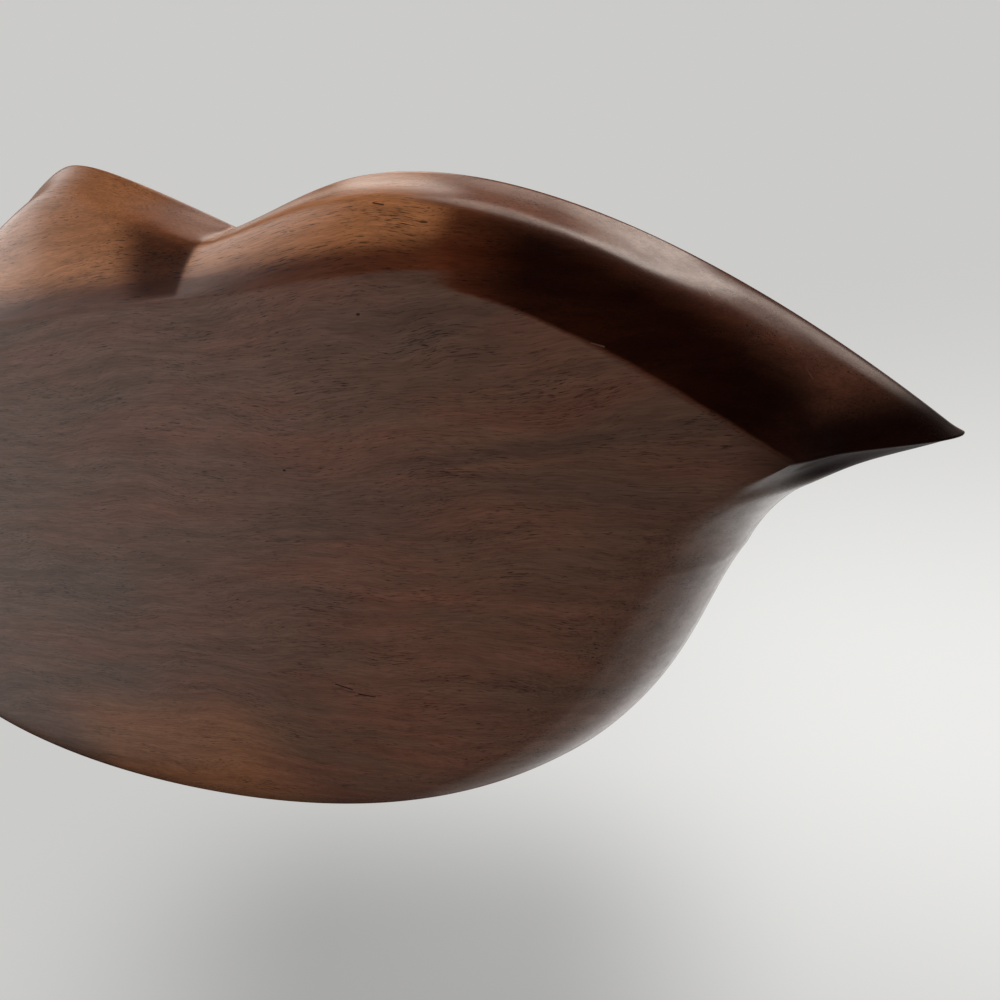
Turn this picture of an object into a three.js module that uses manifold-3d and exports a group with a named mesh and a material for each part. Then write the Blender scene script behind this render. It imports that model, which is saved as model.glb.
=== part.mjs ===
// Divided serving tray, carved from one block of wood: three compartments in one body.
// Millimetres. The flat foot lies on z = 0 and +Z points up out of the compartments.
// X runs from wing tip to wing tip, and +Y points to the middle lobe.
import * as THREE from 'three';
import { mergeVertices } from 'three/addons/utils/BufferGeometryUtils.js';
import Module from 'manifold-3d';

// Heights above the foot
const HEIGHT = 31;
const FLOOR_THICKNESS = 9;
const WIDEST_HEIGHT = 26;
const RIDGE_HEIGHT = 10.5;

// Rim outline of the right half, from the middle lobe round to the front edge. The points
// between the named corners are the handles of the curves that join them.
const LOBE = { x: 0, y: 121 };
const LOBE_ROUND = 8;
const LOBE_SHOULDER = { x: 22, y: 114.5 };
const NOTCH = { x: 58, y: 94.5 };
const NOTCH_LEAVE = { x: 72, y: 96.5 };
const CREST = { x: 104, y: 102 };
const CREST_ROUND = 16;
const WING_SHOULDER = 157;
const WING_FALL = { x: 216, y: 56.5 };
const TIP_UPPER = { x: 250.3, y: 24.4 };
const TIP_LOWER = { x: 250, y: 20.6 };
const TIP_ROUND = 6;
const TIP_UNDER = { x: 238, y: 17 };
const NECK_HOLLOW = { x: 217, y: 19 };
const NECK = { x: 204, y: -6 };
const SIDE_UPPER = { x: 192.5, y: -21.5 };
const SIDE_LOWER = { x: 188.5, y: -42.5 };
const HIP = { x: 165.5, y: -66 };
const BELLY = { x: 134, y: -98.5 };
const FRONT = { x: 0, y: -121 };
const FRONT_ROUND = 72.5;

// Outline of the flat foot, point for point below the rim's
const FOOT_BACK = 76.5;
const FOOT_VALLEY = 52;
const FOOT_CREST = 101;
const FOOT_SHOULDER = 143;
const FOOT_FALL = { x: 174, y: 52.5 };
const FOOT_TIP_UPPER = { x: 213.5, y: 24.1 };
const FOOT_TIP_LOWER = { x: 213, y: 21.9 };
const FOOT_TIP_ROUND = 2;
const FOOT_UNDER = { x: 193, y: 10.5 };
const FOOT_HOLLOW = { x: 181, y: 5.5 };
const FOOT_NECK = { x: 174, y: -10 };
const FOOT_HIP = { x: 125.5, y: -82.5 };
const FOOT_FRONT = { x: 0, y: -99 };
const FOOT_FRONT_ROUND = 93.5;

// Rim, dividers and the hollowed walls of the compartments
const RIM_WIDTH = 9;
const RIM_ROUND = 4.5;
const DIVIDER_WIDTH = 9;
const RIM_WALL_RUN = 38;
const DIVIDER_WALL_RUN = 26;
const DIVIDER_UPPER = { x: 60, y: 20 };
const DIVIDER_LOWER = { x: 64, y: -50 };

// Shares: where the soft ridge lies on the overhang by the notch and by the tip, where a divider
// lands on the front curve, and how softly two walls meet in a corner
const RIDGE_SHARE = 0.78;
const RIDGE_SHARE_AT_TIP = 0.3;
const DIVIDER_LANDING = 0.5;
const CORNER_BLEND = 0.09;

// Shares of the wing between which the band's slope turns into a roll, how late on the wing the
// ridge turns down to the tip, and the share of the neck over which the hollow runs out
const ROLL_START = 0.5;
const ROLL_END = 0.68;
const RIDGE_TURN = 6;
const HOLLOW_END = 0.45;

// Handles of the flank's curves, as shares of each curve's run and rise: the hollow under the
// band, the band where it slopes, the band where it is rolled over, and the bowl
const HOLLOW_HANDLES = [{ x: 0.36, y: 0.27 }, { x: 0.78, y: 0.58 }];
const SLOPE_HANDLES = [{ x: 0.22, y: 0.35 }, { x: 0.62, y: 0.74 }];
const ROLL_HANDLES = [{ x: 0.45, y: 0.24 }, { x: 1, y: 0.6 }];
const BOWL_HANDLES = [{ x: 0.36, y: 0.03 }, { x: 0.98, y: 0.42 }];

// Steps along the outline, up the flank and round each compartment
const LOBE_STEPS = 8;
const WING_START_STEPS = 7;
const WING_STEPS = 18;
const TIP_STEPS = 4;
const NECK_STEPS = 10;
const FRONT_STEPS = 28;
const HOLLOW_STEPS = 4;
const BAND_STEPS = 3;
const ROUND_STEPS = 3;
const COMPARTMENT_STEPS = 72;
const WALL_SHARES = [-0.06, 0.03, 0.12, 0.22, 0.34, 0.47, 0.62, 0.79, 1];

const point = (p) => new THREE.Vector2(p.x, p.y);
const mirrored = (p) => new THREE.Vector2(-p.x, p.y);
const bezier = (a, b, c, d) => new THREE.CubicBezierCurve(point(a), point(b), point(c), point(d));
const line = (a, b) => new THREE.LineCurve(point(a), point(b));

function path(...curves) {
  const joined = new THREE.CurvePath();
  curves.forEach((curve) => joined.add(curve));
  return joined;
}

// A level handle beside a corner lets the curves on its two sides meet without a kink
const beside = (corner, reach) => ({ x: corner.x + reach, y: corner.y });

// A rounded point from the end of one curve to the start of the next, which carries on both
function roundedPoint(before, after, reach) {
  const start = before.getPoint(1);
  const end = after.getPoint(0);
  const outward = start.clone().addScaledVector(before.getTangent(1), reach);
  const back = end.clone().addScaledVector(after.getTangent(0), -reach);
  return new THREE.CubicBezierCurve(start, outward, back, end);
}

const rimLobe = bezier(LOBE, beside(LOBE, LOBE_ROUND), LOBE_SHOULDER, NOTCH);
const rimStart = bezier(NOTCH, NOTCH_LEAVE, beside(CREST, -CREST_ROUND), CREST);
const rimWing = bezier(CREST, { x: WING_SHOULDER, y: CREST.y }, WING_FALL, TIP_UPPER);
const rimNeck = bezier(TIP_LOWER, TIP_UNDER, NECK_HOLLOW, NECK);
const rimTip = roundedPoint(rimWing, rimNeck, TIP_ROUND);
const rimSide = bezier(NECK, SIDE_UPPER, SIDE_LOWER, HIP);
const rimBelly = bezier(HIP, BELLY, beside(FRONT, FRONT_ROUND), FRONT);

const footBack = (x) => ({ x, y: FOOT_BACK });
const footWing = bezier(footBack(FOOT_CREST), footBack(FOOT_SHOULDER), FOOT_FALL, FOOT_TIP_UPPER);
const footNeck = bezier(FOOT_TIP_LOWER, FOOT_UNDER, FOOT_HOLLOW, FOOT_NECK);
const footTip = roundedPoint(footWing, footNeck, FOOT_TIP_ROUND);
const footBelly = bezier(FOOT_NECK, FOOT_HIP, beside(FOOT_FRONT, FOOT_FRONT_ROUND), FOOT_FRONT);

// Each stretch of the rim with the stretch of the foot below it. hollow is 1 where the flank
// between them is a hollow under a raised band, and 0 where it is rounded like a bowl. ridge is
// the share of the overhang at which the band begins. roll is 0 where the band is a plain slope
// and 1 where it is rolled over.
const { lerp, smoothstep, clamp } = THREE.MathUtils;
const banded = { hollow: () => 1, ridge: () => RIDGE_SHARE, roll: () => 0 };
const rolled = { ridge: () => RIDGE_SHARE_AT_TIP, roll: () => 1 };
const stretches = [
  {
    rim: rimLobe,
    foot: line(footBack(LOBE.x), footBack(FOOT_VALLEY)),
    steps: LOBE_STEPS,
    ...banded,
  },
  {
    rim: rimStart,
    foot: line(footBack(FOOT_VALLEY), footBack(FOOT_CREST)),
    steps: WING_START_STEPS,
    ...banded,
  },
  {
    rim: rimWing,
    foot: footWing,
    steps: WING_STEPS,
    hollow: () => 1,
    ridge: (share) => lerp(RIDGE_SHARE, RIDGE_SHARE_AT_TIP, share ** RIDGE_TURN),
    roll: (share) => smoothstep(share, ROLL_START, ROLL_END),
  },
  {
    rim: rimTip,
    foot: footTip,
    steps: TIP_STEPS,
    hollow: () => 1,
    ...rolled,
  },
  {
    rim: rimNeck,
    foot: footNeck,
    steps: NECK_STEPS,
    hollow: (share) => 1 - smoothstep(share, 0, HOLLOW_END),
    ...rolled,
  },
  {
    rim: path(rimSide, rimBelly),
    foot: footBelly,
    steps: FRONT_STEPS,
    hollow: () => 0,
    ...rolled,
  },
];

// Sections from foot to rim, once round the tray
function sections() {
  const right = [];
  for (const { rim, foot, steps, hollow, ridge, roll } of stretches) {
    const rimPoints = rim.getSpacedPoints(steps);
    const footPoints = foot.getSpacedPoints(steps);
    for (let i = 0; i < steps; i++) {
      const share = i / steps;
      const shape = { hollow: hollow(share), ridge: ridge(share), roll: roll(share) };
      right.push({ rim: rimPoints[i], foot: footPoints[i], ...shape });
    }
  }
  right.push({ ...right.at(-1), rim: point(FRONT), foot: point(FOOT_FRONT) });
  const left = right.slice(1, -1).reverse();
  const mirror = (s) => ({ ...s, rim: mirrored(s.rim), foot: mirrored(s.foot) });
  return [...right, ...left.map(mirror)];
}

// A curve whose handles are given as shares of its run and rise
function profileCurve(start, handles, end) {
  const [leave, arrive] = handles.map(({ x, y }) => ({
    x: lerp(start.x, end.x, x),
    y: lerp(start.y, end.y, y),
  }));
  return bezier(start, leave, arrive, end);
}

// The flank from the foot to the widest line: x is the share of the overhang, y the height
function flankProfile({ hollow, ridge, roll }) {
  const bottom = { x: 0, y: 0 };
  const top = { x: 1, y: WIDEST_HEIGHT };
  const bandStart = { x: ridge, y: RIDGE_HEIGHT };
  const bandHandles = SLOPE_HANDLES.map((handle, i) => point(handle).lerp(ROLL_HANDLES[i], roll));
  const hollowCurve = profileCurve(bottom, HOLLOW_HANDLES, bandStart);
  const bandCurve = profileCurve(bandStart, bandHandles, top);
  const bowlCurve = profileCurve(bottom, BOWL_HANDLES, top);
  const hollowed = [...hollowCurve.getPoints(HOLLOW_STEPS), ...bandCurve.getPoints(BAND_STEPS).slice(1)];
  const bowl = bowlCurve.getPoints(hollowed.length - 1);
  return bowl.map((p, i) => p.lerp(hollowed[i], hollow));
}

// One column of the body: up the flank, then over the rounded outer edge of the rim
function column({ rim, foot, ...shape }) {
  const inward = foot.clone().sub(rim).normalize();
  const points = flankProfile(shape).map(({ x, y }) => {
    const plan = foot.clone().lerp(rim, x);
    return new THREE.Vector3(plan.x, plan.y, y);
  });
  for (let i = 1; i <= ROUND_STEPS; i++) {
    const turn = (i / ROUND_STEPS) * (Math.PI / 2);
    const plan = rim.clone().addScaledVector(inward, RIM_ROUND * (1 - Math.cos(turn)));
    const z = lerp(WIDEST_HEIGHT, HEIGHT, Math.sin(turn));
    points.push(new THREE.Vector3(plan.x, plan.y, z));
  }
  return points;
}

// A closed body from columns that run up round it, clockwise as seen from above
function loft(columns) {
  const count = columns.length;
  const rows = columns[0].length;
  const corners = columns.flat();
  const index = [];
  for (let i = 0; i < count; i++) {
    const next = (i + 1) % count;
    for (let j = 0; j < rows - 1; j++) {
      const [a, b] = [i * rows + j, next * rows + j];
      index.push(a, a + 1, b, b, a + 1, b + 1);
    }
  }
  for (const j of [0, rows - 1]) {
    const ring = columns.map((c) => new THREE.Vector2(c[j].x, c[j].y));
    for (const [a, b, c] of THREE.ShapeUtils.triangulateShape(ring, [])) {
      const area = ring[b].clone().sub(ring[a]).cross(ring[c].clone().sub(ring[a]));
      const faces = [a, b, c].map((k) => k * rows + j);
      const pointsUp = area > 0;
      index.push(...(pointsUp === j > 0 ? faces : faces.reverse()));
    }
  }
  const geometry = new THREE.BufferGeometry().setFromPoints(corners);
  geometry.setIndex(index);
  return geometry;
}

// The walls that the compartments keep clear of: rim stretches and the two dividers
const bothSides = (curve) => {
  const right = curve.getPoints(FRONT_STEPS);
  return [...right.slice(1).reverse().map(mirrored), ...right];
};
const landing = rimBelly.getPointAt(DIVIDER_LANDING);
const dividerCurve = bezier(NOTCH, DIVIDER_UPPER, DIVIDER_LOWER, landing);
const rimEdge = { clear: RIM_WIDTH, run: RIM_WALL_RUN };
const dividerEdge = { clear: DIVIDER_WIDTH / 2, run: DIVIDER_WALL_RUN };
const wingBack = path(rimStart, rimWing).getPoints(WING_STEPS);
const wingFront = path(rimTip, rimNeck, rimSide, rimBelly).getPoints(FRONT_STEPS);
const divider = dividerCurve.getPoints(LOBE_STEPS);
const walls = [
  { points: bothSides(rimLobe), ...rimEdge },
  { points: wingBack, ...rimEdge },
  { points: wingBack.map(mirrored), ...rimEdge },
  { points: wingFront, ...rimEdge },
  { points: wingFront.map(mirrored), ...rimEdge },
  { points: divider, ...dividerEdge },
  { points: divider.map(mirrored), ...dividerEdge },
];

function distanceToLine(points, x, y) {
  let nearest = Infinity;
  for (let i = 1; i < points.length; i++) {
    const [a, b] = [points[i - 1], points[i]];
    const [dx, dy] = [b.x - a.x, b.y - a.y];
    const along = ((x - a.x) * dx + (y - a.y) * dy) / (dx * dx + dy * dy);
    const share = clamp(along, 0, 1);
    nearest = Math.min(nearest, Math.hypot(a.x + share * dx - x, a.y + share * dy - y));
  }
  return nearest;
}

// 0 at the upper edge of the nearest wall and 1 at its foot, with the corners blended
function wallShare({ x, y }) {
  let sum = 0;
  for (const { points, clear, run } of walls) {
    sum += Math.exp(-(distanceToLine(points, x, y) - clear) / run / CORNER_BLEND);
  }
  return -CORNER_BLEND * Math.log(sum);
}

// How far out from a compartment's middle the walls reach a given share
function reach(middle, angle, share) {
  const along = new THREE.Vector2(Math.cos(angle), Math.sin(angle));
  const at = (distance) => middle.clone().addScaledVector(along, distance);
  const stride = RIM_WIDTH / 4;
  let inner = 0;
  while (wallShare(at(inner + stride)) > share) inner += stride;
  let outer = inner + stride;
  for (let i = 0; i < 12; i++) {
    const half = (inner + outer) / 2;
    if (wallShare(at(half)) > share) inner = half;
    else outer = half;
  }
  return at(inner);
}

// Angles that split the edge of a compartment into equal lengths, clockwise
function evenAngles(middle) {
  const fine = COMPARTMENT_STEPS * 5;
  const angles = Array.from({ length: fine + 1 }, (_, i) => (-2 * Math.PI * i) / fine);
  const edge = angles.map((angle) => reach(middle, angle, 0));
  const lengths = [0];
  for (let i = 1; i <= fine; i++) lengths.push(lengths[i - 1] + edge[i].distanceTo(edge[i - 1]));
  const even = [];
  for (let i = 0, j = 0; i < COMPARTMENT_STEPS; i++) {
    while (lengths[j] < (lengths[fine] * i) / COMPARTMENT_STEPS) j++;
    even.push(angles[j]);
  }
  return even;
}

// The space of one compartment: a bowl that rises in a hollow curve from floor to rim
function compartment(middle) {
  const depth = HEIGHT - FLOOR_THICKNESS;
  const columns = evenAngles(middle).map((angle) =>
    [...WALL_SHARES].reverse().map((share) => {
      const { x, y } = reach(middle, angle, share);
      return new THREE.Vector3(x, y, FLOOR_THICKNESS + depth * (1 - share) ** 2);
    }),
  );
  return loft(columns);
}

const wasm = await Module();
wasm.setup();

function solid(geometry) {
  const merged = mergeVertices(geometry);
  return new wasm.Manifold(
    new wasm.Mesh({
      numProp: 3,
      vertProperties: new Float32Array(merged.attributes.position.array),
      triVerts: new Uint32Array(merged.index.array),
    }),
  );
}

function surface(body) {
  const { vertProperties, triVerts } = body.getMesh();
  const geometry = new THREE.BufferGeometry();
  geometry.setAttribute('position', new THREE.BufferAttribute(vertProperties, 3));
  geometry.setIndex(new THREE.BufferAttribute(triVerts, 1));
  geometry.computeVertexNormals();
  return geometry;
}

function trayBody() {
  const wing = dividerCurve.getPoint(0.5).lerp(point(TIP_UPPER), 0.4);
  const centre = point(LOBE).lerp(point(FRONT), 0.5);
  const block = solid(loft(sections().map(column)));
  const hollows = [wing, centre, mirrored(wing)].map(compartment).map(solid);
  return hollows.reduce((left, hollow) => left.subtract(hollow), block);
}

const darkWood = new THREE.MeshStandardMaterial({ color: 0x5a3322, roughness: 0.42, metalness: 0 });
const tray = new THREE.Mesh(surface(trayBody()), darkWood);
tray.name = 'tray_body';

const dividedServingTray = new THREE.Group();
dividedServingTray.name = 'divided_serving_tray';
dividedServingTray.add(tray);

export default dividedServingTray;
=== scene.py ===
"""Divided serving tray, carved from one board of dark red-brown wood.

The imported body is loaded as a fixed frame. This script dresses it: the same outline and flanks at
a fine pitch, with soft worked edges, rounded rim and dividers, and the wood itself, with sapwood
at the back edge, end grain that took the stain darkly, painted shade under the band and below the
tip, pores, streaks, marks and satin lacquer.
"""
import math
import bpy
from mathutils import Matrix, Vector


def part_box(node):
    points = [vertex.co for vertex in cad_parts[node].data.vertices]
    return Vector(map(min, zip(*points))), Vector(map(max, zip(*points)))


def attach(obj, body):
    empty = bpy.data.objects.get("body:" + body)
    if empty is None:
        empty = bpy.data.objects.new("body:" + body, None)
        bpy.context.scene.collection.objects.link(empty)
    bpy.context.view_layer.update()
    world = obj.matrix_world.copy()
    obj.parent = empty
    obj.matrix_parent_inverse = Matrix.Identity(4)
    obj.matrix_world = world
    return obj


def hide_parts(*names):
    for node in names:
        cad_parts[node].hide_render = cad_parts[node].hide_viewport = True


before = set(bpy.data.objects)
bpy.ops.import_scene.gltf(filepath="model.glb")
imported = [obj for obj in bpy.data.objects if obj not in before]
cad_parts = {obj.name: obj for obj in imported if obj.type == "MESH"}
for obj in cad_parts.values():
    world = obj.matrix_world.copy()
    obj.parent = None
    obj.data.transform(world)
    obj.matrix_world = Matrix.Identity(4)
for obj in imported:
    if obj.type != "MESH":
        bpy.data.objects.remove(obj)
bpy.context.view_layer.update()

from types import SimpleNamespace

import bpy
import numpy as np
from mathutils import Matrix, Vector

bl_info = {
    "name": "Divided serving tray",
    "version": (1, 0, 0),
    "blender": (4, 5, 0),
    "location": "3D View > Sidebar > Tray",
    "description": "Builds a carved wooden tray with three compartments, and a plain studio for it",
    "category": "Object",
}

MM = 0.001
BODY_NODE = "tray_body"
CAD_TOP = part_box(BODY_NODE)[1].z

# Rim outline of the half with positive x, in millimetres, from the middle lobe round to the
# front edge. The points between the corners are the handles of the curves that join them.
LOBE = (0, 121)
LOBE_LEAVE = (8, 121)
LOBE_SHOULDER = (22, 114.5)
NOTCH = (58, 94.5)
NOTCH_LEAVE = (72, 96.5)
CREST_ARRIVE = (88, 102)
CREST = (104, 102)
WING_SHOULDER = (157, 102)
WING_FALL = (216, 56.5)
TIP_UPPER = (250.3, 24.4)
TIP_LOWER = (250, 20.6)
TIP_ROUND = 6
TIP_UNDER = (238, 17)
NECK_HOLLOW = (217, 19)
NECK = (204, -6)
SIDE_UPPER = (192.5, -21.5)
SIDE_LOWER = (188.5, -42.5)
HIP = (165.5, -66)
BELLY = (134, -98.5)
FRONT_ARRIVE = (72.5, -121)
FRONT = (0, -121)

# Outline of the flat foot, point for point below the rim's
FOOT_BACK = 76.5
FOOT_LOBE = (0, FOOT_BACK)
FOOT_VALLEY = (52, FOOT_BACK)
FOOT_CREST = (101, FOOT_BACK)
FOOT_SHOULDER = (143, FOOT_BACK)
FOOT_FALL = (174, 52.5)
FOOT_TIP_UPPER = (213.5, 24.1)
FOOT_TIP_LOWER = (213, 21.9)
FOOT_TIP_ROUND = 2
FOOT_UNDER = (193, 10.5)
FOOT_HOLLOW = (181, 5.5)
FOOT_NECK = (174, -10)
FOOT_HIP = (125.5, -82.5)
FOOT_FRONT_ARRIVE = (93.5, -99)
FOOT_FRONT = (0, -99)

# Heights above the foot, the rim's rounding and the dividers' handles, in millimetres
HEIGHT = CAD_TOP / MM
WIDEST_HEIGHT = 26
RIDGE_HEIGHT = 10.5
RIM_ROUND = 4.5
DIVIDER_UPPER = (60, 20)
DIVIDER_LOWER = (64, -50)

# Shares: where the soft ridge lies on the overhang by the notch and by the tip, how late on the
# wing it turns down to the tip, between which shares of the wing the band's slope turns into a
# roll, over how much of the neck the hollow runs out, and how softly two walls meet in a corner
RIDGE_SHARE = 0.78
RIDGE_SHARE_AT_TIP = 0.3
RIDGE_TURN = 6
ROLL_START = 0.5
ROLL_END = 0.68
HOLLOW_END = 0.45
CORNER_BLEND = 0.09

# Handles of the flank's curves, as shares of each curve's run and rise: the hollow under the
# band, the band where it slopes, the band where it is rolled over, and the bowl
HOLLOW_HANDLES = ((0.36, 0.27), (0.78, 0.58))
SLOPE_HANDLES = ((0.22, 0.35), (0.62, 0.74))
ROLL_HANDLES = ((0.45, 0.24), (1, 0.6))
BOWL_HANDLES = ((0.36, 0.03), (0.98, 0.42))

# Sections along each stretch. The back (lobe, start, wing and half the tip) has as many as the front.
STRETCH_STEPS = (44, 32, 108, 14, 40, 144)

# Rows of the mesh: on the flat, as shares of the way to its spine, up the flank's hollow and band,
# over the crest and across the top, with how far they crowd toward the foot's edge and the rim
FLAT_SHARES = (1.0, 0.7, 0.45, 0.32, 0.25, 0.2, 0.16, 0.125, 0.095, 0.07, 0.05, 0.035, 0.022, 0.014, 0.007)
HOLLOW_ROWS = 20
HOLLOW_CROWDING = 1.5
BAND_ROWS = 15
CREST_ROWS = 8
TOP_ROWS = 56
TOP_CROWDING = 0.55

# How the flank's edges are worked smooth: rows below the edge, rows from it upward, and passes
FOOT_EDGE_WORK = (2, 3, 2)
BOWL_EDGE_WORK = (12, 20, 160)
TIP_EDGE_WORK = (6, 8, 20)
RIDGE_WORK = (3, 4, 3)
ROLL_WORK = (8, 9, 16)
VALLEY_FIRST_ROW = 2
VALLEY_REACH = 9
VALLEY_PASSES = 10

# The photographed view, in the frame's axes and metres, and its lens in millimetres
CAMERA_PLACE = (-0.2158, 0.0808, -0.1749)
CAMERA_RIGHT = (-0.93055, -0.13717, 0.33951)
CAMERA_UP = (-0.00829, 0.93483, 0.35498)
CAMERA_LENS = 27.04
CAMERA_CLIP = 0.01
SENSOR_WIDTH = 36.0


# Settings that a user would change

def length(name, description, default):
    return bpy.props.FloatProperty(
        name=name, description=description, default=default, min=0.0, unit="LENGTH", subtype="DISTANCE"
    )


def colour(name, description, default):
    return bpy.props.FloatVectorProperty(
        name=name, description=description, default=default, min=0.0, max=1.0, size=3, subtype="COLOR"
    )


def factor(name, description, default):
    return bpy.props.FloatProperty(
        name=name, description=description, default=default, min=0.0, max=1.0, subtype="FACTOR"
    )


def power(name, description, default):
    return bpy.props.FloatProperty(
        name=name, description=description, default=default, min=0.0, unit="POWER"
    )


class TraySizes(bpy.types.PropertyGroup):
    rim_width: length("Rim width", "Width of the rim before its walls fall away", 9 * MM)
    divider_width: length("Divider width", "Width of the dividers before their walls fall away", 9 * MM)
    rim_wall_run: length("Rim wall run", "How far a wall runs in from the rim to the floor", 38 * MM)
    divider_wall_run: length("Divider wall run", "How far a wall runs from a divider to the floor", 26 * MM)
    floor_thickness: length("Floor thickness", "Wood between the compartments and the foot", 9 * MM)
    crest_softness: length("Crest softness", "How far the rim and dividers round over", 1.3 * MM)


class WoodLook(bpy.types.PropertyGroup):
    heartwood: colour("Heartwood", "Brown of the flat foot and floors", (0.160, 0.083, 0.056))
    red_streak: colour("Red streak", "Redder bands in the heartwood", (0.195, 0.085, 0.056))
    dark_streak: colour("Dark streak", "Dark mineral bands", (0.110, 0.066, 0.049))
    sapwood: colour("Sapwood", "Golden wood near the back edge", (0.55, 0.215, 0.085))
    red_sapwood: colour("Red sapwood", "Where the heartwood passes into the sapwood", (0.13, 0.036, 0.014))
    stained: colour("Stained band", "End grain of the raised band", (0.24, 0.056, 0.020))
    band_start: factor("Band", "Share of the flank's hollow where the raised band begins", 0.84)
    # Near-black of end grain dark with stain, which also stands for painted shade under the band and below
    # the tip
    end_grain_and_shade: colour("End grain", "Wood cut across its fibres, dark with stain", (0.009, 0.0012, 0.0004))
    pore: colour("Pore", "Open pores and checks", (0.008, 0.004, 0.003))
    scuff: colour("Scuff", "Scratches through the lacquer", (0.30, 0.16, 0.11))
    roughness: factor("Roughness", "Roughness of the wood under its lacquer", 0.6)
    lacquer: factor("Lacquer", "Amount of satin lacquer over the wood", 1.0)


class StageLook(bpy.types.PropertyGroup):
    floor: colour("Floor", "Plain pale floor", (0.46, 0.46, 0.45))
    key_power: power("Front", "Power of the lamp that faces the underside", 1.9)
    top_power: power("Overhead", "Power of the soft lamp above the compartments", 8.0)


# Curves and outlines

def smoothstep(x):
    x = np.clip(x, 0, 1)
    return x * x * (3 - 2 * x)


def lerp(a, b, share):
    return a + (b - a) * share


def along_curve(start, leave, arrive, end, t):
    """A cubic curve's values at the shares t."""
    return (1 - t) ** 3 * start + 3 * (1 - t) ** 2 * t * leave + 3 * (1 - t) * t * t * arrive + t**3 * end


def bezier(start, leave, arrive, end, samples=600):
    corners = (np.array(p, float) for p in (start, leave, arrive, end))
    return along_curve(*corners, np.linspace(0, 1, samples)[:, None])


def straight(start, end):
    return np.array([start, end], float)


def rounded_point(before, after, reach):
    """A rounded point from the end of one curve to the start of the next."""
    outward = before[-1] - before[-2]
    onward = after[1] - after[0]
    outward = before[-1] + reach * outward / np.linalg.norm(outward)
    onward = after[0] - reach * onward / np.linalg.norm(onward)
    return bezier(before[-1], outward, onward, after[0])


def spaced(points, steps):
    """The points that split a line into equal lengths."""
    lengths = np.r_[0, np.cumsum(np.linalg.norm(np.diff(points, axis=0), axis=1))]
    at = np.linspace(0, lengths[-1], steps + 1)
    return np.column_stack([np.interp(at, lengths, axis) for axis in points.T])


def belly():
    return bezier(HIP, BELLY, FRONT_ARRIVE, FRONT)


def outlines():
    """The stretches of the rim's outline and of the foot's, in order, with how the flank runs on each.

    Those are functions of the share of the stretch: how far the flank is hollowed under a band, where
    on the overhang that band begins, and how far the band is rolled over.
    """
    rim_lobe = bezier(LOBE, LOBE_LEAVE, LOBE_SHOULDER, NOTCH)
    rim_start = bezier(NOTCH, NOTCH_LEAVE, CREST_ARRIVE, CREST)
    rim_wing = bezier(CREST, WING_SHOULDER, WING_FALL, TIP_UPPER)
    rim_neck = bezier(TIP_LOWER, TIP_UNDER, NECK_HOLLOW, NECK)
    rim_tip = rounded_point(rim_wing, rim_neck, TIP_ROUND)
    rim_side = bezier(NECK, SIDE_UPPER, SIDE_LOWER, HIP)
    foot_wing = bezier(FOOT_CREST, FOOT_SHOULDER, FOOT_FALL, FOOT_TIP_UPPER)
    foot_neck = bezier(FOOT_TIP_LOWER, FOOT_UNDER, FOOT_HOLLOW, FOOT_NECK)
    foot_tip = rounded_point(foot_wing, foot_neck, FOOT_TIP_ROUND)
    foot_belly = bezier(FOOT_NECK, FOOT_HIP, FOOT_FRONT_ARRIVE, FOOT_FRONT)
    whole = lambda share: np.ones_like(share)
    none = lambda share: np.zeros_like(share)
    at_notch = lambda share: np.full_like(share, RIDGE_SHARE)
    at_tip = lambda share: np.full_like(share, RIDGE_SHARE_AT_TIP)
    along_wing = lambda share: lerp(RIDGE_SHARE, RIDGE_SHARE_AT_TIP, share**RIDGE_TURN)
    rolling = lambda share: smoothstep((share - ROLL_START) / (ROLL_END - ROLL_START))
    running_out = lambda share: 1 - smoothstep(share / HOLLOW_END)
    return [
        (rim_lobe, straight(FOOT_LOBE, FOOT_VALLEY), whole, at_notch, none),
        (rim_start, straight(FOOT_VALLEY, FOOT_CREST), whole, at_notch, none),
        (rim_wing, foot_wing, whole, along_wing, rolling),
        (rim_tip, foot_tip, whole, at_tip, whole),
        (rim_neck, foot_neck, running_out, at_tip, whole),
        (np.vstack([rim_side, belly()[1:]]), foot_belly, none, at_tip, whole),
    ]


def sections():
    """Rim and foot places of each section, with its hollow, ridge and roll."""
    rims, feet, hollows, ridges, rolls = [], [], [], [], []
    for (rim, foot, hollow, ridge, roll), steps in zip(outlines(), STRETCH_STEPS):
        share = np.arange(steps) / steps
        rims.append(spaced(rim, steps)[:-1])
        feet.append(spaced(foot, steps)[:-1])
        hollows.append(hollow(share))
        ridges.append(ridge(share))
        rolls.append(roll(share))
    rims.append([FRONT])
    feet.append([FOOT_FRONT])
    for kept in (hollows, ridges, rolls):
        kept.append(kept[-1][-1:])
    return np.vstack(rims), np.vstack(feet), *(np.concatenate(kept) for kept in (hollows, ridges, rolls))


def profile_curve(start, handles, end, t):
    """(x, z) on a curve whose handles are given as shares of its run and rise."""
    values = []
    for axis in (0, 1):
        leave, arrive = (lerp(start[axis], end[axis], handle[axis]) for handle in handles)
        values.append(along_curve(start[axis], leave, arrive, end[axis], t))
    return np.broadcast_arrays(*values)


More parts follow.
